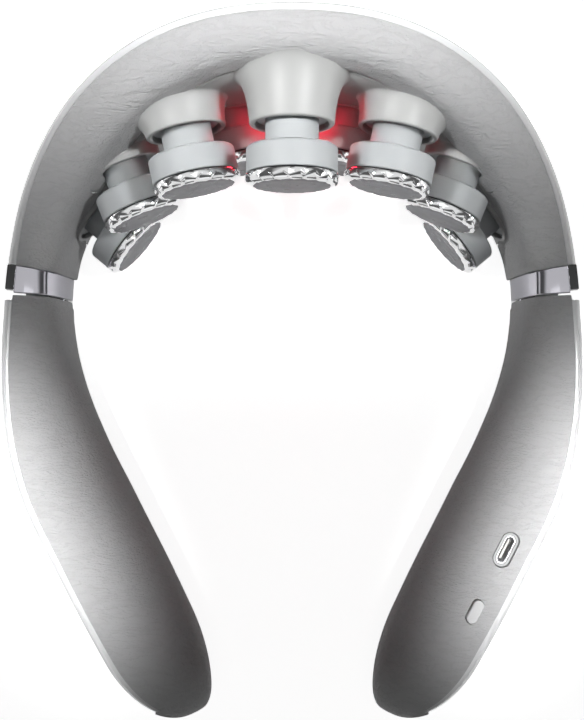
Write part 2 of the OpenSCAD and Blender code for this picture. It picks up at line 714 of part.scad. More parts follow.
// Right arm: the main board on two ledges of the arm's frame, with socket, switch and button
board_z = 22;
board_top = board_z + board_t;
board_w = 12;
board_l = 38;
board_place = fittings_mid - 4;
board_edge = plate_face(board_place) + seam_gap;
module board_frame() {
    for (m = [-0.4, 0.36])
        on_wall(board_place, 0, board_z - 3 - seam_gap / 2)
        translate([m * board_l - 1.5, board_edge - 0.6, 0])
        cube([3, 5, 3]);
}
module main_board() {
    color([0.1, 0.35, 0.2])
    on_wall(board_place, board_edge, board_z)
        translate([-board_l / 2, 0, 0])
        cube([board_l, board_w, board_t]);
}
usb_place = 90 + bend_len + usb_at;
button_place = 90 + bend_len + button_at;
usb_top = top_z(usb_place) + 0.5;
usb_l = usb_w + 2 * bezel_rim;
usb_b = usb_h + 2 * bezel_rim;
module at_usb(z) {
    on_wall(usb_place, -fitting_v, z) children();
}
module at_button(z) {
    on_wall(button_place, -fitting_v, z) children();
}
module usb_bezel() {
    color(CHROME)
    at_usb(usb_top - 4)
    difference() {
        obround(usb_l, usb_b, 4);
        translate([0, 0, -1]) obround(usb_w + 0.1, usb_h + 0.1, 6);
    }
}
module usb_shell() {
    color(STEEL)
    at_usb(board_top)
    difference() {
        obround(usb_w, usb_h, usb_top - 0.4 - board_top);
        translate([0, 0, 3]) obround(usb_w - 2 * usb_sheet, usb_h - 2 * usb_sheet, 60);
    }
}
module usb_tongue() {
    color([0.9, 0.9, 0.88])
    at_usb(board_top + 3)
        translate([-usb_w / 2 + 1.3, -0.35, 0])
        cube([usb_w - 2.6, 0.7, usb_top - board_top - 5]);
}
switch_l = 4.6;
switch_h = 3;
plunger_h = 0.8;
module tact_switch() {
    color(BLACK)
    at_button(board_top)
        union() {
            translate([-switch_l / 2, -switch_l / 2, 0]) cube([switch_l, switch_l, switch_h]);
            cylinder(d = 2, h = switch_h + plunger_h);
        }
}
button_fit = 0.3;
button_top = top_z(button_place) + crest + button_rise - 0.4;
button_flange = 1;
button_flange_top = arm_h - pad_t - 1.2;
module power_button() {
    foot = board_top + switch_h + plunger_h + button_travel + 0.1;
    color(WHITE)
    at_button(0)
        union() {
            translate([0, 0, button_flange_top - 0.5])
                obround(button_l, button_w, button_top - button_flange_top + 0.5);
            translate([0, 0, button_flange_top - button_flange])
                obround(button_l + 2, button_w + 2, button_flange);
            translate([0, 0, foot]) cylinder(d = 2.4, h = button_flange_top - foot - 0.2);
        }
}
module arm_pad_left() {
    color(LEATHER) mirror([1, 0, 0]) arm_pad_body();
}
module arm_pad_right() {
    color(LEATHER)
    difference() {
        arm_pad_body();
        at_usb(arm_h / 2 + 4) obround(usb_l + 2 * seam_gap, usb_b + 2 * seam_gap, arm_h);
        at_button(arm_h / 2 + 4) obround(button_l + 2 * button_fit, button_w + 2 * button_fit, arm_h);
    }
}

rear_shell();
yoke_pad();
head_panel();
yoke_frame();
yoke_screws();
lamp_lens();
lamp_board();
head_springs();
for (s = SIDES) {
    band(s[1]);
    hinge_block(s[1]);
    torsion_spring(s[1]);
    arm_shell(s[1]);
    hinge_pin(s[1]);
    arm_screws(s[1]);
}
arm_pad_left();
arm_pad_right();
arm_frame(-1) battery_frame();  // arm_frame_left
arm_frame(1) board_frame();  // arm_frame_right
battery();
main_board();
usb_bezel();
usb_shell();
usb_tongue();
tact_switch();
power_button();
for (k = ALL_HEADS) {
    skirt(k[1], k[2]);
    cup(k[1], k[2]);
    disc(k[1], k[2]);
}
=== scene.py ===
"""Looks of a neck massager: padded yoke and arms, white shells, silicone skirts and chrome massage discs."""
from math import atan2, cos, hypot, pi, radians, sin

import bmesh
import bpy
from mathutils import Matrix, Vector

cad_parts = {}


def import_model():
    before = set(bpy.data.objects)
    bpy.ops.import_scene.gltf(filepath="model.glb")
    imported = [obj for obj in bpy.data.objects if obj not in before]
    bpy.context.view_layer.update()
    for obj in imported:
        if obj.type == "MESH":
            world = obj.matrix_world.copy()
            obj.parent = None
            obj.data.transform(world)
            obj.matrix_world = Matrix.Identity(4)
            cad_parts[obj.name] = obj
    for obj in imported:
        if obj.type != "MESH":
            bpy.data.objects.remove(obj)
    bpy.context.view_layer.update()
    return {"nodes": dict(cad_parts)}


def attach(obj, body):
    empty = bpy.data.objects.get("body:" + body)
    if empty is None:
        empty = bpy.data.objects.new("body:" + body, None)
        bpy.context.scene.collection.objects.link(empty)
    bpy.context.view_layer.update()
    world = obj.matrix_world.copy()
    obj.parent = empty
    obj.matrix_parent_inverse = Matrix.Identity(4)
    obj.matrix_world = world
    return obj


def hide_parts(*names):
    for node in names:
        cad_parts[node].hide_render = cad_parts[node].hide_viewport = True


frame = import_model()

# Sizes of the collar, in millimetres, as in the part's source
MM = 0.001
HALF_W, YOKE_DEPTH, SQUARE, WIDE_Y = 80.2, 68.4, 2.24, 26.4
BEND_R, BEND, STRAIGHT = 127.0, 27.0, 78.0
BACK_H, ARM_H = 96.0, 38.0
YOKE_T, SIDE_T, ARM_T = 10.0, 13.0, 28.5
NOSE, NOSE_V = 29.0, 2.4
SHELL_T, SWELL, FACE_SWELL, GAP, CREST = 2.6, 3.0, 3.5, 0.2, 0.8
PANEL_T, PANEL_LOW, PANEL_END = 2.0, 3.0, 69.3
SEAM_DROP, SEAM_DROP_SIDE = 12.0, 11.0
BAND_AT, BAND_LEN, ARM_GAP, SHELL_END_GAP = 83.3, 8.0, 0.5, 1.3
BEND_LEN = radians(BEND) * BEND_R
ARM_END = 90 + BEND_LEN + STRAIGHT
SHELL_END = ARM_END - NOSE * 0.3

# Sizes of a massage head
RING_R, RING_H, STEM_R, STEM_SHOW = 12.0, 7.0, 7.0, 5.6
LIP_BACK = RING_H + STEM_SHOW
SKIRT_R, SKIRT_T = 11.2, 1.4
DISC_R, DISC_H, DISC_GAP, DISC_FLAT_R, SWIRLS = 12.2, 3.5, 0.3, 8.0, 18
SLEEVE_BACK, SLEEVE_FLOOR, TRAVEL, STOP_GAP = 8.2, 1.2, 3.5, 0.3
HEAD_HOLE_R, CUP_ROOM = 9.4, 0.25

# Head name, place on the yoke, height, free skirt length, turn of the axis
HEADS = [("centre", 0, 78, 13.1, 0), ("upper", 21.92, 64, 6.9, 12), ("side", 41.97, 43, 2.4, 22),
         ("end", 58.17, 18, 2.8, 50), ("low", 12.87, 41, 1.55, 14)]
LAMP_Z, LAMP_R, LAMP_RISE = 54.0, 6.0, 1.8
SIDES = {"left": -1, "right": 1}


def ease(low, high, x):
    q = min(1.0, max(0.0, (x - low) / (high - low)))
    return q * q * (3 - 2 * q)


def mix(a, b, q):
    return a + (b - a) * q


def steps(a, b, n):
    return [mix(a, b, i / n) for i in range(n + 1)]


# The plan curve of the collar's wall, and what is measured from it


def spine(p):
    side, q = (1, p) if p >= 0 else (-1, -p)
    if q <= 90:
        x = HALF_W * max(0.0, sin(radians(q))) ** (2 / SQUARE)
        return side * x, WIDE_Y + YOKE_DEPTH * max(0.0, cos(radians(q))) ** (2 / SQUARE)
    turn = radians(BEND) * min(1.0, (q - 90) / BEND_LEN)
    run = max(0.0, q - 90 - BEND_LEN)
    x = HALF_W - BEND_R * (1 - cos(turn)) - run * sin(turn)
    return side * x, WIDE_Y - BEND_R * sin(turn) - run * cos(turn)


def along(p):
    (ax, ay), (bx, by) = spine(p - 0.05), spine(p + 0.05)
    length = hypot(bx - ax, by - ay)
    return (bx - ax) / length, (by - ay) / length


def degrees_per_mm(p):
    (ax, ay), (bx, by) = spine(p - 0.05), spine(p + 0.05)
    return 0.1 / hypot(bx - ax, by - ay)


def at(p, v, z):
    """A point of the wall: v counts from its middle towards the neck."""
    x, y = spine(p)
    tx, ty = along(p)
    return Vector((x + ty * v, y - tx * v, z))


def top_z(p):
    return ARM_H + ((BACK_H - ARM_H) * cos(radians(p)) ** 2 if abs(p) < 90 else 0)


def wall(p):
    q = abs(p)
    return (YOKE_T + (SIDE_T - YOKE_T) * ease(0, 45, q) + (ARM_T - SIDE_T) * ease(73, 155, q)
            - ARM_T * 0.12 * ease(175, ARM_END, q))


def inner(p):
    return wall(p) / 2


def face(p, z):
    """The padded face towards the neck, fullest above the middle of its height."""
    rise = min(1.0, max(0.0, z / top_z(p))) ** 2.2
    return inner(p) + FACE_SWELL * (1 - ease(46, 74, abs(p))) * sin(pi * rise)


def rim(p):
    return -wall(p) / 2


def lining(p):
    return rim(p) + SHELL_T + GAP


def swell(p, z):
    return SWELL * sin(pi * min(1.0, max(0.0, z / top_z(p))))


def seam_z(p):
    q = abs(p)
    if q >= PANEL_END:
        return PANEL_LOW
    reach = top_z(p) - SEAM_DROP - SEAM_DROP_SIDE * ease(0, 50, q) - PANEL_LOW
    return PANEL_LOW + reach * (1 - (q / PANEL_END) ** 6) ** 0.5


BAND_HALF = BAND_LEN / 2 * degrees_per_mm(BAND_AT)
YOKE_END = BAND_AT - BAND_HALF
ARM_START = BAND_AT + BAND_HALF + ARM_GAP * degrees_per_mm(BAND_AT)


# Mesh helpers


def mesh_object(name, bm, smooth_angle=40):
    bmesh.ops.recalc_face_normals(bm, faces=bm.faces)
    if bm.calc_volume(signed=True) < 0:
        bmesh.ops.reverse_faces(bm, faces=bm.faces)
    mesh = bpy.data.meshes.new(name)
    bm.to_mesh(mesh)
    bm.free()
    mesh.polygons.foreach_set("use_smooth", [True] * len(mesh.polygons))
    mesh.set_sharp_from_angle(angle=radians(smooth_angle))
    obj = bpy.data.objects.new(name, mesh)
    bpy.context.collection.objects.link(obj)
    return obj


def loft(name, rings, side=1, smooth_angle=40):
    """A closed solid through rings of millimetre points; each runs up one face and back down the other."""
    bm = bmesh.new()
    rows = [[bm.verts.new((side * q.x * MM, q.y * MM, q.z * MM)) for q in ring] for ring in rings]
    n = len(rows[0])
    for a, b in zip(rows, rows[1:]):
        for j in range(n):
            k = (j + 1) % n
            bm.faces.new((a[j], a[k], b[k], b[j]))
    for row in (rows[0], rows[-1]):
        for j in range(n // 2 - 1):
            bm.faces.new((row[j], row[j + 1], row[n - 2 - j], row[n - 1 - j]))
    return mesh_object(name, bm, smooth_angle)


def ring(p, section):
    return [at(p, v, z) for v, z in section]


def lathe(profile, turns=96):
    """A bmesh of a [radius, height] profile spun round Z, in metres."""
    bm = bmesh.new()
    rows = []
    for r, z in profile:
        if r < 1e-6:
            rows.append([bm.verts.new((0, 0, z * MM))] * turns)
        else:
            angles = [2 * pi * i / turns for i in range(turns)]
            rows.append([bm.verts.new((r * cos(q) * MM, r * sin(q) * MM, z * MM)) for q in angles])
    for a, b in zip(rows, rows[1:]):
        for i in range(turns):
            k = (i + 1) % turns
            corners = list(dict.fromkeys((a[i], a[k], b[k], b[i])))
            if len(corners) > 2:
                bm.faces.new(corners)
    return bm


def arc(cx, cy, r, start, end, n):
    return [(cx + r * cos(radians(q)), cy + r * sin(radians(q))) for q in steps(start, end, n)]


def apply_modifiers(obj):
    graph = bpy.context.evaluated_depsgraph_get()
    baked = bpy.data.meshes.new_from_object(obj.evaluated_get(graph))
    obj.modifiers.clear()
    obj.data = baked


def dress(obj, material, body, slot, *nodes):
    obj.data.materials.clear()
    obj.data.materials.append(material)
    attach(obj, body)
    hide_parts(*nodes)
    return obj


def rounded_copy(node, material, body, slot, width, segments=3):
    """A copy of a rigid CAD node with its edges rounded."""
    bm = bmesh.new()
    bm.from_mesh(frame["nodes"][node].data)
    bmesh.ops.remove_doubles(bm, verts=bm.verts, dist=1e-6)
    bmesh.ops.dissolve_limit(bm, angle_limit=radians(1), verts=bm.verts, edges=bm.edges)
    obj = mesh_object(node + "_rounded", bm, 30)
    bevel = obj.modifiers.new("rounded edges", "BEVEL")
    bevel.width = width * MM
    bevel.segments = segments
    bevel.limit_method = "ANGLE"
    bevel.angle_limit = radians(35)
    bevel.harden_normals = False
    apply_modifiers(obj)
    return dress(obj, material, body, slot, node)


# Materials


def shader(name, color, roughness, metallic=0.0):
    material = bpy.data.materials.new(name)
    material.use_nodes = True
    surface = material.node_tree.nodes["Principled BSDF"]
    surface.inputs["Base Color"].default_value = (*color, 1)
    surface.inputs["Roughness"].default_value = roughness
    surface.inputs["Metallic"].default_value = metallic
    return material, surface


def node_of(material, kind, **values):
    made = material.node_tree.nodes.new(kind)
    for key, value in values.items():
        if key in made.inputs:
            made.inputs[key].default_value = value
        else:
            setattr(made, key, value)
    return made


def link(material, source, target):
    material.node_tree.links.new(source, target)


def object_coords(material):
    return node_of(material, "ShaderNodeTexCoord").outputs["Object"]


def noise_of(material, scale, detail=2.0):
    made = node_of(material, "ShaderNodeTexNoise")
    made.inputs["Scale"].default_value = scale
    made.inputs["Detail"].default_value = detail
    link(material, object_coords(material), made.inputs["Vector"])
    return made


def bump(material, surface, height, strength, distance):
    made = node_of(material, "ShaderNodeBump")
    made.inputs["Strength"].default_value = strength
    made.inputs["Distance"].default_value = distance
    link(material, height, made.inputs["Height"])
    link(material, made.outputs["Normal"], surface.inputs["Normal"])


def vary(material, factor, low, high, target):
    """A ramp between two colours, or two greys for roughness, driven by a texture."""
    ramp = node_of(material, "ShaderNodeValToRGB")
    ramp.color_ramp.elements[0].position = 0.35
    ramp.color_ramp.elements[1].position = 0.65
    ramp.color_ramp.elements[0].color = (*low, 1)
    ramp.color_ramp.elements[1].color = (*high, 1)
    link(material, factor, ramp.inputs["Fac"])
    link(material, ramp.outputs["Color"], target)


def grey(value):
    return (value, value, value)


def wrinkles(material, vector, scale, width):
    """Wavy creases along the level lines of a noise: 0 in a crease, 1 beside it."""
    waves = node_of(material, "ShaderNodeTexNoise")
    waves.inputs["Scale"].default_value = scale
    waves.inputs["Detail"].default_value = 3
    waves.inputs["Distortion"].default_value = 0.5
    link(material, vector, waves.inputs["Vector"])
    off = node_of(material, "ShaderNodeMath", operation="SUBTRACT")
    off.inputs[1].default_value = 0.5
    link(material, waves.outputs["Fac"], off.inputs[0])
    away = node_of(material, "ShaderNodeMath", operation="ABSOLUTE")
    link(material, off.outputs["Value"], away.inputs[0])
    crease = node_of(material, "ShaderNodeMapRange", interpolation_type="SMOOTHSTEP")
    crease.inputs["From Max"].default_value = width
    link(material, away.outputs["Value"], crease.inputs["Value"])
    return crease.outputs["Result"]


def added(material, first, second, share):
    """The first height plus a share of the second."""
    total = node_of(material, "ShaderNodeMath", operation="MULTIPLY_ADD")
    total.inputs[1].default_value = share
    link(material, second, total.inputs[0])
    link(material, first, total.inputs[2])
    return total.outputs["Value"]


def leatherette():
    """Light grey boarded leather: wavy creases across the pads, finer ones between, a tooth over all."""
    material, surface = shader("leatherette", (0.61, 0.61, 0.615), 0.5)
    surface.inputs["Specular IOR Level"].default_value = 0.15
    lying = node_of(material, "ShaderNodeMapping")
    lying.inputs["Scale"].default_value = (0.36, 1.3, 0.9)
    link(material, object_coords(material), lying.inputs["Vector"])
    coarse = wrinkles(material, lying.outputs["Vector"], 340, 0.075)
    fine = wrinkles(material, lying.outputs["Vector"], 900, 0.09)
    tooth = noise_of(material, 2400, 2)
    height = added(material, coarse, fine, 0.8)
    height = added(material, height, tooth.outputs["Fac"], 0.6)
    bump(material, surface, height, 0.62, 0.00022)
    # The coarse creases are coloured a little darker than the leather beside them: painted shade in the
    # creases, on top of the bump that shapes them.
    vary(material, coarse, (0.59, 0.59, 0.595), (0.615, 0.615, 0.62), surface.inputs["Base Color"])
    vary(material, tooth.outputs["Fac"], grey(0.44), grey(0.56), surface.inputs["Roughness"])
    return material


def gloss_white():
    material, surface = shader("gloss white", (0.87, 0.875, 0.88), 0.16)
    surface.inputs["Specular IOR Level"].default_value = 0.32
    ripple = noise_of(material, 90, 1)
    vary(material, ripple.outputs["Fac"], grey(0.13), grey(0.2), surface.inputs["Roughness"])
    bump(material, surface, ripple.outputs["Fac"], 0.05, 0.0002)
    return material


def fine_moulded(name, color, roughness, grain=0.12):
    """Moulded plastic or silicone with a fine spark-eroded grain."""
    material, surface = shader(name, color, roughness)
    texture = noise_of(material, 3200, 2)
    bump(material, surface, texture.outputs["Fac"], grain, 0.00005)
    cloud = noise_of(material, 60, 2)
    vary(material, cloud.outputs["Fac"], [c * 0.97 for c in color], [min(1, c * 1.03) for c in color],
         surface.inputs["Base Color"])
    vary(material, texture.outputs["Fac"], grey(roughness - 0.05), grey(roughness + 0.05),
         surface.inputs["Roughness"])
    return material


def plated(name, color, low, high, edge=1.0):
    """Plated metal, polished unevenly; edge is how bright it is where it is seen along its surface, and an
    edge below 1 is painted shade on those grazing reflections.
    """
    material, surface = shader(name, color, low, 1.0)
    surface.inputs["Specular Tint"].default_value = (edge, edge, edge, 1)
    haze = noise_of(material, 240, 3)
    vary(material, haze.outputs["Fac"], grey(low), grey(high), surface.inputs["Roughness"])
    return material


def glowing_red():
    material, surface = shader("red lamp", (0.7, 0.02, 0.04), 0.25)
    surface.inputs["Emission Color"].default_value = (1.0, 0.03, 0.06, 1)
    surface.inputs["Emission Strength"].default_value = 12
    facets = node_of(material, "ShaderNodeTexVoronoi")
    facets.inputs["Scale"].default_value = 900
    link(material, object_coords(material), facets.inputs["Vector"])
    bump(material, surface, facets.outputs["Distance"], 0.3, 0.0002)
    return material


LEATHER = leatherette()
WHITE = gloss_white()
SILICONE = fine_moulded("satin silicone", (0.44, 0.445, 0.44), 0.45)
GREY = fine_moulded("grey plastic", (0.48, 0.5, 0.51), 0.5)
BLACK = fine_moulded("black plastic", (0.012, 0.012, 0.013), 0.35)
PALE = fine_moulded("pale plastic", (0.75, 0.74, 0.7), 0.45)
BOARD = fine_moulded("solder mask", (0.02, 0.12, 0.05), 0.4)
SLEEVE = fine_moulded("battery sleeve", (0.05, 0.12, 0.3), 0.3)
CHROME = plated("chrome", (0.74, 0.745, 0.75), 0.04, 0.09)
# The satin chrome's dark colour and dim edge are painted shade for the darker surroundings its face reflects;
# its satin roughness is its own.
SATIN_WITH_PAINTED_SHADE = plated("satin chrome with painted shade", (0.27, 0.27, 0.28), 0.26, 0.34, 0.4)
STEEL = plated("steel", (0.62, 0.62, 0.64), 0.22, 0.34)
# The band plating's dark colour and dim edge are painted shade that keeps the white floor from showing pure
# white in it; its faint violet tint is the plating's own.
BAND = plated("band plating with painted shade", (0.44, 0.435, 0.47), 0.1, 0.16, 0.38)
RED = glowing_red()


# White shells


def shell_section(p, bottom, top):
    """Wall of a shell with a flat lip, chamfered outside; the points run up inside and down outside."""
    shares = (0, 0.01, 0.05, 0.12, 0.24, 0.38, 0.52, 0.66, 0.8, 0.92, 1)
    inside = [(rim(p) + SHELL_T - swell(p, z), z) for z in (mix(bottom, top - 1, q) for q in shares)]
    outside = [(rim(p) - swell(p, z), z) for z in (mix(top - 3, bottom, q) for q in shares)]
    inside[0] = (inside[0][0] - 0.4, inside[0][1])
    outside[-1] = (outside[-1][0] + 0.4, outside[-1][1])
    a, b = rim(p) + SHELL_T, rim(p)
    lip = [(a, top - 0.3), (a - 0.1, top - 0.09), (a - 0.3, top), (a - 0.9, top + 0.04)]
    lip += [(b + 1.25, top + 0.02), (b + 1.05, top - 0.08), (b + 0.9, top - 0.25)]
    lip += [(b + 0.25 - swell(p, top - 2.4), top - 2.0)]
    return inside + lip + outside


def rear_shell():
    rings = [ring(p, shell_section(p, 0, top_z(p))) for p in steps(-YOKE_END, YOKE_END, 120)]
    dress(loft("rear_shell_skin", rings), WHITE, "collar", "shell_white", "rear_shell")


def nose_shrink(p):
    q = max(0.0, (p - (ARM_END - NOSE)) / NOSE)
    return max(0.0, 1 - q * q) ** 0.5


def shrunk(section, p):
    g, mid = nose_shrink(p), top_z(p) / 2
    return [(NOSE_V + (v - NOSE_V) * g, mid + (z - mid) * g) for v, z in section]


def arm_shell(name, side):
    start = ARM_START + SHELL_END_GAP * degrees_per_mm(BAND_AT)
    places = steps(start, 90, 8) + steps(92, SHELL_END - 2, 70) + steps(SHELL_END - 1.5, SHELL_END, 4)
    rings = [ring(p, shrunk(shell_section(p, 0, top_z(p)), p)) for p in places]
    obj = loft("arm_shell_skin_" + name, rings, side)
    dress(obj, WHITE, name + "_arm", "shell_white", "arm_shell_" + name)


# Leather pads


FOAM_SCALE, FOAM_PRESSURE, FOAM_FRAMES, FOAM_RISE = 20, 4.0, 20, 0.4
LEATHER_T, EDGE_TURN = 4.0, 0.35


def puffed(obj, points, soft):
    """Lets the foam's pressure swell the leather where it is soft, up to its greatest rise.

    The solver is made for garments, so the pad is swelled at a larger scale."""
    group = obj.vertex_groups.new(name="held")
    group.add([i for i in range(len(obj.data.vertices)) if not soft(i // points, i % points)], 1.0, "REPLACE")
    rest = [vertex.co.copy() for vertex in obj.data.vertices]
    obj.data.transform(Matrix.Scale(FOAM_SCALE, 4))
    leather = obj.modifiers.new("leather", "CLOTH")
    leather.settings.vertex_group_mass = "held"
    leather.settings.use_pressure = True
    leather.settings.uniform_pressure_force = FOAM_PRESSURE
    leather.settings.effector_weights.gravity = 0
    leather.collision_settings.use_collision = False
    leather.point_cache.frame_end = FOAM_FRAMES
    for moment in range(1, FOAM_FRAMES + 1):
        bpy.context.scene.frame_set(moment)
    graph = bpy.context.evaluated_depsgraph_get()
    swelled = [vertex.co / FOAM_SCALE for vertex in obj.evaluated_get(graph).data.vertices]
    obj.modifiers.clear()
    obj.vertex_groups.clear()
    bpy.context.scene.frame_set(1)
    for vertex, before, after in zip(obj.data.vertices, rest, swelled):
        move = after - before
        vertex.co = before + move * min(1.0, FOAM_RISE * MM / max(move.length, 1e-9))
    obj.data.update()


def yoke_pad_section(p):
    """Leather from the seam of the panel up the padded face, over the crest and down to the shell."""
    t, b = top_z(p), lining(p)
    turn = 8.0
    low = min(seam_z(p), t - turn - 1)
    front = [(face(p, low) - 1.0, low + 0.05), (face(p, low) - 0.4, low + 0.3)]
    front += [(face(p, low + 0.9) - 0.08, low + 0.9)]
    levels = [mix(low + 1.8, t - turn, q) for q in (0, 0.15, 0.35, 0.55, 0.75, 0.9, 1)]
    front += [(face(p, z), z) for z in levels]
    span, rise, power = face(p, t - turn) - b - 0.1, turn + CREST, 2 / 2.3
    front += [(b + 0.1 + span * cos(radians(q)) ** power, t - turn + rise * sin(radians(q)) ** power)
              for q in (10, 20, 30, 40, 50, 59, 67, 75, 82)]
    front += [(b + 0.3, t + CREST - 0.12), (b - 0.08, t + CREST - 0.5), (b - 0.15, t - 1.2)]
    a = inner(p) - 2.3
    hidden = [(mix(b + 0.05, a, q), t - 3.5 - 4.5 * q) for q in steps(0, 1, 9)]
    hidden += [(a, mix(t - 8.5, low + 0.05, q)) for q in steps(0, 1, len(front) - len(hidden) - 1)]
    return front + hidden


def pulled_in(section, p, end):
    """The section near an end of a pad, where the leather turns in over its edge."""
    near = max(0.0, 1 - abs(end - p) / degrees_per_mm(min(p, 89)) / 1.2) if abs(end - p) < 5 else 0.0
    amount = EDGE_TURN * near * near
    mid_v = sum(v for v, z in section) / len(section)
    mid_z = sum(z for v, z in section) / len(section)
    out = []
    for v, z in section:
        reach = max(1e-6, hypot(v - mid_v, z - mid_z))
        out.append((v - (v - mid_v) / reach * amount, z - (z - mid_z) / reach * amount))
    return out


def yoke_pad():
    inside = steps(-YOKE_END + 1.5, YOKE_END - 1.5, 150)
    places = [-YOKE_END + q for q in (0, 0.1, 0.3, 0.7)] + inside + [YOKE_END - q for q in (0.7, 0.3, 0.1, 0)]
    rings = [ring(p, pulled_in(yoke_pad_section(p), abs(p), YOKE_END)) for p in places]
    obj = loft("yoke_leather", rings, smooth_angle=60)
    points = len(rings[0])
    puffed(obj, points, lambda row, j: 3 < row < len(rings) - 4 and 2 < j < points // 2 - 3)
    cut(obj, head_cutters())
    cut(obj, cup_room())
    dress(obj, LEATHER, "collar", "leather", "yoke_pad")


def lobe(p, v0, v1, half_h, power, angles):
    mid = (top_z(p) + CREST + 0.4) / 2
    out = []
    for q in angles:
        c, s = max(0.0, cos(radians(q))), sin(radians(q))
        rise = (1 if s > 0 else -1) * abs(s) ** (2 / power)
        out.append((v0 + (v1 - v0) * c ** (2 / power), mid + half_h * rise))
    return out


LOBE_ANGLES = [-90, -86, -80, -72, -62, -50, -38, -26, -13, 0, 13, 26, 38, 50, 62, 72, 80, 86, 90]


def roundness(p):
    return 4 - 1.6 * ease(85, 130, p)


def arm_pad_section(p):
    bare = p > SHELL_END
    v0 = rim(p) if bare else lining(p)
    half_h = (top_z(p) + CREST - 0.4) / 2
    outer = lobe(p, v0 - 0.13, inner(p), half_h, roundness(p), LOBE_ANGLES)
    back = lobe(p, v0, inner(p) - LEATHER_T, half_h - LEATHER_T, roundness(p), reversed(LOBE_ANGLES))
    hollow = 1 - 0.985 * ease(ARM_END - NOSE - 9, ARM_END - NOSE - 8, p)
    if bare:
        back = [(v0 - swell(p, z), z) for v, z in back]
    else:
        back = [(v0 + (v - v0) * hollow, z) for v, z in back]
    return outer + back


def arm_pad(name, side):
    places = [ARM_START + q for q in (0, 0.1, 0.3, 0.7)] + steps(ARM_START + 1.4, 90, 8)
    places += steps(92, SHELL_END, 70) + [SHELL_END + 0.3]
    places += [ARM_END - (ARM_END - SHELL_END - 0.6) * (1 - q) ** 2 for q in steps(0, 0.97, 16)]
    rings = [ring(p, shrunk(pulled_in(arm_pad_section(p), p, ARM_START), p)) for p in places]
    obj = loft("arm_leather_" + name, rings, side, smooth_angle=60)
    puffed(obj, len(rings[0]), lambda row, j: row > 3 and 1 < j < len(LOBE_ANGLES) - 2)
    if name == "right":
        cut(obj, fitting_cutters())
    dress(obj, LEATHER, name + "_arm", "leather", "arm_pad_" + name)


# Bands and hinges

BAND_T, BAND_EDGE = 1.6, 0.35


def band_section(p):
    half_h = (top_z(p) + CREST - 0.4) / 2
    v0 = lining(p)
    power = roundness(p)
    return (lobe(p, v0, inner(p) + 0.2, half_h + 0.15, power, LOBE_ANGLES)
            + lobe(p, v0, inner(p) - BAND_T, half_h - BAND_T, power, reversed(LOBE_ANGLES)))


def band(name, side):
    start = YOKE_END + GAP * degrees_per_mm(BAND_AT)
    end = BAND_AT + BAND_HALF
    rings = [ring(p, band_section(p)) for p in steps(start, end, 6)]
    obj = loft("band_polished_" + name, rings, side, smooth_angle=50)
    bevel = obj.modifiers.new("edge", "BEVEL")
    bevel.width = BAND_EDGE * MM
    bevel.segments = 3
    bevel.limit_method = "ANGLE"
    bevel.angle_limit = radians(60)
    apply_modifiers(obj)
    dress(obj, BAND, "collar", "chrome", "band_" + name)


# Massage heads


def head_frame(side, head):
    """Millimetre frame of a head as a metre matrix: Z along the axis towards the neck."""
    p, z, free, turn = head[1:]
    axis = Vector((-sin(radians(turn)), -cos(radians(turn)), 0))
    origin = at(p, face(p, z), z) + axis * (LIP_BACK + free)
    matrix = Matrix.Rotation(radians(-turn), 4, "Z") @ Matrix.Rotation(radians(90), 4, "X")
    matrix = Matrix.Translation(origin * MM) @ matrix
    return Matrix.Scale(side, 4, (1, 0, 0)) @ matrix if side < 0 else matrix


def all_heads():
    for head in HEADS:
        if head[1] == 0:
            yield head[0], 1, head
        else:
            for name, side in SIDES.items():
                yield head[0] + "_" + name, side, head


def placed(name, bm, matrix, smooth_angle=40):
    bm.transform(matrix)
    return mesh_object(name, bm, smooth_angle)


def cut(obj, cutter):
    boolean = obj.modifiers.new("openings", "BOOLEAN")
    boolean.operation = "DIFFERENCE"
    boolean.solver = "EXACT"
    boolean.object = cutter
    apply_modifiers(obj)
    obj.data.set_sharp_from_angle(angle=radians(50))
    bpy.data.objects.remove(cutter)


def head_cutters(lamp_radius=0):
    """Cylinders along all the heads' axes, through the wall only."""
    bm = bmesh.new()
    for _, side, head in all_heads():
        wall_at = -LIP_BACK - head[3]
        add_cylinder(bm, HEAD_HOLE_R, wall_at - SLEEVE_BACK - 1, wall_at + 3, head_frame(side, head))
    if lamp_radius:
        add_cylinder(bm, lamp_radius, -6, 4, lamp_frame())
    return mesh_object("cutter", bm)


def cup_room():
    """Room before the wall for the cups when they are pressed in."""
    bm = bmesh.new()
    for _, side, head in all_heads():
        add_cylinder(bm, RING_R + CUP_ROOM, -RING_H - TRAVEL - CUP_ROOM, 1, head_frame(side, head))
    return mesh_object("cutter", bm)


def add_cylinder(bm, radius, low, high, matrix):
    made = bmesh.ops.create_cone(bm, cap_ends=True, segments=64, radius1=radius * MM, radius2=radius * MM,
                                 depth=(high - low) * MM)
    centre = Matrix.Translation((0, 0, (high + low) / 2 * MM))
    bmesh.ops.transform(bm, matrix=matrix @ centre, verts=made["verts"])


def face_plan(z):
    """The padded face of the yoke cut level at height z, as points of the plan."""
    return [at(p, face(p, z), 0).to_2d() for p in steps(-110, 110, 440)]


def reach_to_wall(plan, point, direction, usual):
    """How far a level ray goes to the yoke's inner face, in millimetres, near the usual distance."""
    found = []
    for a, b in zip(plan, plan[1:]):
        edge = b - a
        denom = direction.x * edge.y - direction.y * edge.x
        if abs(denom) < 1e-9:
            continue
        gap = a - point
        u = (gap.x * direction.y - gap.y * direction.x) / denom
        if 0 <= u <= 1:
            found.append((gap.x * edge.y - gap.y * edge.x) / denom)
    return min(found, key=lambda run: abs(run - usual), default=usual)


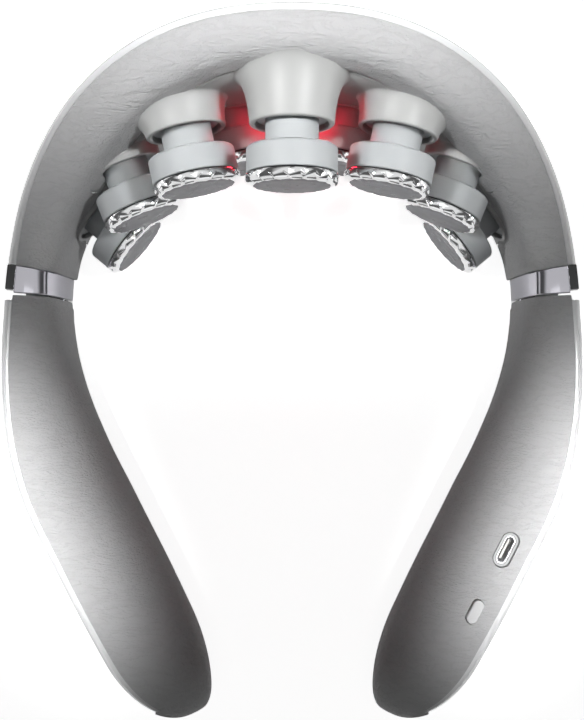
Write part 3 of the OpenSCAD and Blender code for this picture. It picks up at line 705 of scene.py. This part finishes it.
def skirt(name, side, head, turns=72, rows=20):
    """Silicone skirt: a rounded lip, a straight neck and a flare that runs out on the padded face."""
    free, turn = head[3:]
    matrix = head_frame(1, head)
    back = Vector((sin(radians(turn)), cos(radians(turn))))
    flare = 0.5 + 0.27 * free
    wall_in = SKIRT_R - SKIRT_T
    lip = [(wall_in, -LIP_BACK - 2.2), (wall_in, -LIP_BACK - 0.7)]
    lip += arc(wall_in + 0.35, -LIP_BACK - 0.4, 0.35, 160, 100, 2)
    lip += arc(SKIRT_R - 0.6, -LIP_BACK - 0.65, 0.6, 90, 15, 3)
    bm = bmesh.new()
    columns = []
    for i in range(turns):
        c, s = cos(2 * pi * i / turns), sin(2 * pi * i / turns)
        column = [(r * c, r * s, a) for r, a in lip]
        foot = matrix @ Vector(((SKIRT_R + flare) * c * MM, (SKIRT_R + flare) * s * MM, -LIP_BACK * MM))
        depth = max(0.9, reach_to_wall(face_plan(foot.z / MM), foot.to_2d() / MM, back, free))
        for k in range(rows + 1):
            q = k / rows
            run = sin(radians(90 * q))
            r = SKIRT_R + flare * (1 - cos(radians(90 * q))) * 0.85 + flare * 0.15 * q
            column.append((r * c, r * s, mix(-LIP_BACK - 0.7, -LIP_BACK - depth - 0.05, run ** 1.15)))
        column += [(wall_in * c, wall_in * s, -LIP_BACK - depth - 0.05)]
        columns.append([bm.verts.new(Vector(q) * MM) for q in column])
    for a, b in zip(columns, columns[1:] + columns[:1]):
        n = len(a)
        for j in range(n):
            k = (j + 1) % n
            bm.faces.new((a[j], a[k], b[k], b[j]))
    obj = placed("skirt_soft_" + name, bm, head_frame(side, head), 60)
    dress(obj, SILICONE, "collar", "silicone", "skirt_" + name)


def cup(name, side, head):
    rear = -LIP_BACK - head[3] - SLEEVE_BACK + SLEEVE_FLOOR + TRAVEL + STOP_GAP
    profile = [(0, -2.2), (7.9, -2.2), (8.0, -2.1), (8.0, -0.3), (8.15, 0), (RING_R - 0.35, 0)]
    profile += arc(RING_R - 0.35, -0.35, 0.35, 80, 0, 4)
    profile += arc(RING_R - 1.0, -RING_H + 1.0, 1.0, 0, -90, 8)
    profile += [(STEM_R + 0.5, -RING_H)] + arc(STEM_R + 0.4, -RING_H - 0.4, 0.4, 90, 180, 4)
    profile += [(STEM_R, rear + 1.2), (STEM_R + 0.8, rear + 1.2), (STEM_R + 0.8, rear)]
    profile += [(5.3, rear), (5.3, -3.9), (0, -3.9)]
    obj = placed("cup_moulded_" + name, lathe(profile), head_frame(side, head), 35)
    dress(obj, GREY, "head_" + name, "grey_plastic", "cup_" + name)


def swirl_tree():
    """Nodes that press sawtooth swirls into the rounded edge of a disc and leave its centre satin."""
    tree = bpy.data.node_groups.new("swirl edge", "GeometryNodeTree")
    sockets = tree.interface
    sockets.new_socket("Geometry", in_out="INPUT", socket_type="NodeSocketGeometry")
    for label in ("Cuts", "Depth", "Twist", "Inner radius", "Outer radius", "Satin radius"):
        sockets.new_socket(label, in_out="INPUT", socket_type="NodeSocketFloat")
    for label in ("Polished", "Satin"):
        sockets.new_socket(label, in_out="INPUT", socket_type="NodeSocketMaterial")
    sockets.new_socket("Geometry", in_out="OUTPUT", socket_type="NodeSocketGeometry")
    nodes, links = tree.nodes, tree.links
    given = nodes.new("NodeGroupInput").outputs
    result = nodes.new("NodeGroupOutput")

    def math(operation, a, b=None):
        made = nodes.new("ShaderNodeMath")
        made.operation = operation
        for socket, value in zip(made.inputs, (a, b)):
            if value is None:
                continue
            if isinstance(value, (int, float)):
                socket.default_value = value
            else:
                links.new(value, socket)
        return made.outputs["Value"]

    place = nodes.new("ShaderNodeSeparateXYZ")
    links.new(nodes.new("GeometryNodeInputPosition").outputs["Position"], place.inputs[0])
    x, y, z = place.outputs
    radius = math("SQRT", math("ADD", math("MULTIPLY", x, x), math("MULTIPLY", y, y)))
    angle = math("ARCTAN2", y, x)
    width = math("SUBTRACT", given["Outer radius"], given["Inner radius"])
    across = math("DIVIDE", math("SUBTRACT", radius, given["Inner radius"]), width)
    inside = math("MAXIMUM", math("MINIMUM", across, 1.0), 0.0)
    upper = math("GREATER_THAN", z, 0.0009)
    turn = math("ADD", math("DIVIDE", angle, 2 * pi), 1.0)
    phase = math("FRACT", math("MULTIPLY", turn, given["Cuts"]))
    tooth = math("MINIMUM", math("MULTIPLY", phase, 3.0), math("MULTIPLY", math("SUBTRACT", 1.0, phase), 1.5))
    deepening = math("POWER", inside, 2.2)
    drop = math("MULTIPLY", math("MULTIPLY", deepening, tooth), math("MULTIPLY", upper, given["Depth"]))
    swing = math("MULTIPLY", math("MULTIPLY", inside, given["Twist"]), math("DIVIDE", 2 * pi, given["Cuts"]))
    twisted = math("ADD", angle, math("MULTIPLY", swing, upper))
    moved = nodes.new("ShaderNodeCombineXYZ")
    links.new(math("MULTIPLY", radius, math("COSINE", twisted)), moved.inputs["X"])
    links.new(math("MULTIPLY", radius, math("SINE", twisted)), moved.inputs["Y"])
    links.new(math("SUBTRACT", z, drop), moved.inputs["Z"])
    move = nodes.new("GeometryNodeSetPosition")
    links.new(given["Geometry"], move.inputs["Geometry"])
    links.new(moved.outputs["Vector"], move.inputs["Position"])
    joined = nodes.new("GeometryNodeRealizeInstances")
    links.new(move.outputs["Geometry"], joined.inputs["Geometry"])
    polished = nodes.new("GeometryNodeSetMaterial")
    links.new(joined.outputs["Geometry"], polished.inputs["Geometry"])
    links.new(given["Polished"], polished.inputs["Material"])
    satin = nodes.new("GeometryNodeSetMaterial")
    links.new(polished.outputs["Geometry"], satin.inputs["Geometry"])
    links.new(given["Satin"], satin.inputs["Material"])
    centre = math("MULTIPLY", math("LESS_THAN", radius, given["Satin radius"]), upper)
    links.new(centre, satin.inputs["Selection"])
    links.new(satin.outputs["Geometry"], result.inputs["Geometry"])
    return tree


SWIRL = swirl_tree()


def set_inputs(modifier, tree, **values):
    for item in tree.interface.items_tree:
        key = item.name.lower().replace(" ", "_")
        if item.in_out == "INPUT" and key in values:
            modifier[item.identifier] = values[key]


def disc(name, side, head):
    """Chrome disc: a bright belt, a rounded edge with sawtooth swirls and a flat satin centre whose dark
    colour is painted shade.
    """
    belt, edge_r, per_tooth = 1.9, DISC_R - 0.1, 12
    round_h = DISC_H - DISC_GAP - belt
    profile = [(0, -2.1), (7.95, -2.1), (7.95, DISC_GAP), (DISC_R - 0.5, DISC_GAP)]
    profile += [(DISC_R - 0.15, DISC_GAP + 0.12), (DISC_R, DISC_GAP + 0.45), (DISC_R, DISC_GAP + belt - 0.3)]
    profile += [(mix(DISC_FLAT_R + 0.4, edge_r, cos(radians(q))), DISC_GAP + belt + round_h * sin(radians(q)))
                for q in steps(0, 88, 20)]
    profile += [(DISC_FLAT_R * q, DISC_H + 0.07 * (1 - q * q)) for q in (1, 0.8, 0.6, 0.3, 0)]
    obj = mesh_object("disc_swirled_" + name, lathe(profile, SWIRLS * per_tooth), 50)
    swirl = obj.modifiers.new("swirl edge", "NODES")
    swirl.node_group = SWIRL
    # The satin centre takes the chrome darkened with painted shade.
    set_inputs(swirl, SWIRL, cuts=float(SWIRLS), depth=1.0 * MM, twist=0.7, polished=CHROME, satin=SATIN_WITH_PAINTED_SHADE,
               inner_radius=(DISC_FLAT_R + 0.3) * MM, outer_radius=edge_r * MM, satin_radius=10.1 * MM)
    apply_modifiers(obj)
    bm = bmesh.new()
    bm.from_mesh(obj.data)
    bm.transform(head_frame(side, head))
    if side < 0:
        bmesh.ops.reverse_faces(bm, faces=bm.faces)
    bm.to_mesh(obj.data)
    bm.free()
    obj.data.set_sharp_from_angle(angle=radians(28))
    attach(obj, "head_" + name)
    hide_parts("disc_" + name)


def gap_shade_ring(name, side, head):
    """Thin black ring in the gap between a cup and its disc: painted shade for that narrow gap."""
    profile = [(8.3, 0.03), (RING_R - 0.55, 0.03), (RING_R - 0.4, 0.15), (RING_R - 0.55, DISC_GAP - 0.03),
               (8.3, DISC_GAP - 0.03), (8.3, 0.03)]
    bm = lathe(profile, 72)
    bmesh.ops.remove_doubles(bm, verts=bm.verts, dist=1e-7)
    obj = placed("gasket_" + name, bm, head_frame(side, head))
    # Black here is painted shade, darkening the gap between cup and disc.
    obj.data.materials.append(BLACK)
    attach(obj, "head_" + name)


# Silicone panel and lamp


def lamp_frame():
    foot = at(0, face(0, LAMP_Z), LAMP_Z)
    return Matrix.Translation(foot * MM) @ Matrix.Rotation(radians(90), 4, "X")


def head_panel():
    rings = []
    for p in steps(-PANEL_END + 0.4, PANEL_END - 0.4, 150):
        high = seam_z(p) - GAP
        back = inner(p) - PANEL_T
        front = [(face(p, PANEL_LOW) - 0.5, PANEL_LOW), (face(p, PANEL_LOW + 0.4), PANEL_LOW + 0.4)]
        front += [(face(p, z), z) for z in (mix(PANEL_LOW + 0.4, high - 0.6, q) for q in steps(0.08, 1, 11))]
        front += [(face(p, high - 0.2) - 0.18, high - 0.18), (face(p, high) - 0.6, high)]
        rings.append(ring(p, front + [(back, mix(high, PANEL_LOW, q)) for q in steps(0, 1, len(front) - 1)]))
    obj = loft("panel_silicone", rings, smooth_angle=50)
    cut(obj, head_cutters(LAMP_R + GAP))
    cut(obj, cup_room())
    dress(obj, SILICONE, "collar", "silicone", "head_panel")


def lamp():
    rear = inner(0) - face(0, LAMP_Z) - PANEL_T
    profile = [(0, rear), (LAMP_R, rear), (LAMP_R, 0)]
    profile += [(LAMP_R * cos(radians(q)), LAMP_RISE * sin(radians(q))) for q in steps(10, 90, 8)]
    obj = placed("lamp_dome", lathe(profile, 64), lamp_frame(), 40)
    dress(obj, RED, "collar", "red_lens", "lamp_lens")


# Fittings of the right arm

FITTING_V, USB_AT, BUTTON_AT = -4.9, 13.1, 34.0
USB_CUT, BUTTON_CUT = (11.5, 5.7), (8.1, 3.9)


def obround(bm, length, width, low, high, matrix):
    ends = [(1, q) for q in steps(-90, 90, 12)] + [(-1, q) for q in steps(90, 270, 12)]
    half, r = (length - width) / 2, width / 2
    plan = [(s * half + r * cos(radians(q)), r * sin(radians(q))) for s, q in ends]
    loops = []
    for z in (low, high):
        loops.append([bm.verts.new(matrix @ (Vector((x, y, z)) * MM)) for x, y in plan])
    n = len(ends)
    for i in range(n):
        k = (i + 1) % n
        bm.faces.new((loops[0][i], loops[0][k], loops[1][k], loops[1][i]))
    bm.faces.new(loops[0][::-1])
    bm.faces.new(loops[1])


def fitting_frame(place):
    p = 90 + BEND_LEN + place
    tx, ty = along(p)
    return Matrix.Translation(at(p, FITTING_V, 0) * MM) @ Matrix.Rotation(atan2(ty, tx), 4, "Z")


def fitting_cutters():
    bm = bmesh.new()
    obround(bm, *USB_CUT, 24, 50, fitting_frame(USB_AT))
    obround(bm, *BUTTON_CUT, 24, 50, fitting_frame(BUTTON_AT))
    return mesh_object("cutter", bm)


def fittings():
    rounded_copy("usb_bezel", CHROME, "right_arm", "chrome", 0.25)
    rounded_copy("power_button", WHITE, "power_button", "shell_white", 0.45)
    for name in SIDES:
        rounded_copy("hinge_block_" + name, BLACK, "collar", "black_plastic", 0.3)


def finish_cad_nodes():
    """Rigid pieces that keep their CAD shape and get their finish."""
    finishes = {"yoke_frame": GREY, "yoke_screws": STEEL, "lamp_board": BOARD, "head_springs": STEEL,
                "battery": SLEEVE, "main_board": BOARD, "usb_shell": STEEL, "usb_tongue": PALE,
                "tact_switch": BLACK}
    for name in SIDES:
        finishes["arm_frame_" + name] = GREY
        for piece in ("torsion_spring_", "arm_screws_", "hinge_pin_"):
            finishes[piece + name] = STEEL
    for node, material in finishes.items():
        mesh = frame["nodes"][node].data
        mesh.materials.clear()
        mesh.materials.append(material)


# Studio


def floor():
    bm = bmesh.new()
    bmesh.ops.create_grid(bm, x_segments=1, y_segments=1, size=3)
    obj = mesh_object("floor", bm)
    material = bpy.data.materials.new("floor")
    material.use_nodes = True
    tree = material.node_tree
    tree.nodes.remove(tree.nodes["Principled BSDF"])
    seen = tree.nodes.new("ShaderNodeBsdfDiffuse")
    seen.inputs["Color"].default_value = (0.8, 0.8, 0.8, 1)
    lift = tree.nodes.new("ShaderNodeEmission")
    lift.inputs["Strength"].default_value = 0.9
    bright = tree.nodes.new("ShaderNodeAddShader")
    dim = tree.nodes.new("ShaderNodeBsdfDiffuse")
    dim.inputs["Color"].default_value = (0.06, 0.06, 0.06, 1)
    tree.links.new(seen.outputs[0], bright.inputs[0])
    tree.links.new(lift.outputs[0], bright.inputs[1])
    both = tree.nodes.new("ShaderNodeMixShader")
    tree.links.new(plain_sight(tree), both.inputs["Fac"])
    tree.links.new(dim.outputs[0], both.inputs[1])
    tree.links.new(bright.outputs[0], both.inputs[2])
    tree.links.new(both.outputs[0], tree.nodes["Material Output"].inputs["Surface"])
    obj.data.materials.append(material)


def plain_sight(tree):
    """1 for rays from the camera, from mirrors and through glass."""
    path = tree.nodes.new("ShaderNodeLightPath")
    either = tree.nodes.new("ShaderNodeMath")
    either.operation = "MAXIMUM"
    tree.links.new(path.outputs["Is Camera Ray"], either.inputs[0])
    tree.links.new(path.outputs["Is Glossy Ray"], either.inputs[1])
    all_three = tree.nodes.new("ShaderNodeMath")
    all_three.operation = "MAXIMUM"
    tree.links.new(either.outputs[0], all_three.inputs[0])
    tree.links.new(path.outputs["Is Transmission Ray"], all_three.inputs[1])
    return all_three.outputs[0]


def world():
    """A little even light; metal and the camera see a white horizon, a grey belt and a white zenith."""
    made = bpy.data.worlds.new("studio")
    bpy.context.scene.world = made
    made.use_nodes = True
    tree = made.node_tree
    light = tree.nodes["Background"]
    light.inputs["Color"].default_value = (1, 1, 1, 1)
    light.inputs["Strength"].default_value = 0.04
    height = tree.nodes.new("ShaderNodeSeparateXYZ")
    tree.links.new(tree.nodes.new("ShaderNodeTexCoord").outputs["Generated"], height.inputs[0])
    sky = tree.nodes.new("ShaderNodeValToRGB")
    stops = [(0.1, 0.95), (0.24, 0.1), (0.55, 0.14), (0.8, 0.95)]
    while len(sky.color_ramp.elements) < len(stops):
        sky.color_ramp.elements.new(0.5)
    for element, (place, level) in zip(sky.color_ramp.elements, stops):
        element.position = place
        element.color = (level, level, level, 1)
    tree.links.new(height.outputs["Z"], sky.inputs["Fac"])
    seen = tree.nodes.new("ShaderNodeBackground")
    tree.links.new(sky.outputs["Color"], seen.inputs["Color"])
    both = tree.nodes.new("ShaderNodeMixShader")
    tree.links.new(plain_sight(tree), both.inputs["Fac"])
    tree.links.new(light.outputs[0], both.inputs[1])
    tree.links.new(seen.outputs[0], both.inputs[2])
    tree.links.new(both.outputs[0], tree.nodes["World Output"].inputs["Surface"])


def lamp_panel(name, place, target, size, power, spread=180, lie=(1, 0, 0)):
    """A flat soft light whose length lies along one direction; a small spread is a grid before it."""
    data = bpy.data.lights.new(name, "AREA")
    data.shape = "RECTANGLE"
    data.size, data.size_y = size
    data.energy = power
    data.spread = radians(spread)
    back = (Vector(place) - Vector(target)).normalized()
    length = Vector(lie)
    length = (length - back * length.dot(back)).normalized()
    turn = Matrix((length, back.cross(length), back)).transposed().to_4x4()
    obj = bpy.data.objects.new(name, data)
    obj.matrix_world = Matrix.Translation(place) @ turn
    bpy.context.collection.objects.link(obj)


def lights():
    """Soft lights over the yoke, a strip over each arm's outer edge, low panels round the outside."""
    lamp_panel("top light", (0, 0.05, 1.2), (0, 0.02, 0), (0.6, 0.5), 0.6)
    lamp_panel("back light", (0, 1.3, 0.05), (0, 0.1, 0.05), (1.0, 0.06), 5.0)
    lamp_panel("front light", (0, -1.2, 0.12), (0, 0, 0.03), (0.8, 0.14), 0.2)
    for side in (-1, 1):
        crest = Vector((side * 0.012, 0.082, 0.085))
        aside = Vector((side * 0.36, -0.02, 0.6))
        lamp_panel("yoke light", crest + aside, crest, (0.08, 0.04), 0.0225, 12)
        middle = Vector((side * 0.085, -0.036, 0.035))
        above = Vector((side * 0.02, -0.01, 0.6))
        lamp_panel("arm light", middle + above, middle, (0.09, 0.012), 0.0185, 7.2, (-side * 0.38, -0.92, 0))
        lamp_panel("side light", (side * 1.2, 0, 0.025), (0, 0, 0.025), (0.8, 0.03), 2.5, 180, (0, 1, 0))


def camera():
    data = bpy.data.cameras.new("camera")
    data.sensor_fit = "VERTICAL"
    data.sensor_height = 36
    data.lens = 47.5
    data.clip_start = 0.01
    obj = bpy.data.objects.new("camera", data)
    obj.location = (0, 0.0123, 0.326)
    bpy.context.collection.objects.link(obj)
    bpy.context.scene.camera = obj


def build():
    rear_shell()
    yoke_pad()
    head_panel()
    lamp()
    for name, side in SIDES.items():
        band(name, side)
        arm_shell(name, side)
        arm_pad(name, side)
    for name, side, head in all_heads():
        skirt(name, side, head)
        cup(name, side, head)
        disc(name, side, head)
        gap_shade_ring(name, side, head)
    fittings()
    finish_cad_nodes()


build()
floor()
world()
lights()
camera()
bpy.context.scene.view_settings.view_transform = "Standard"
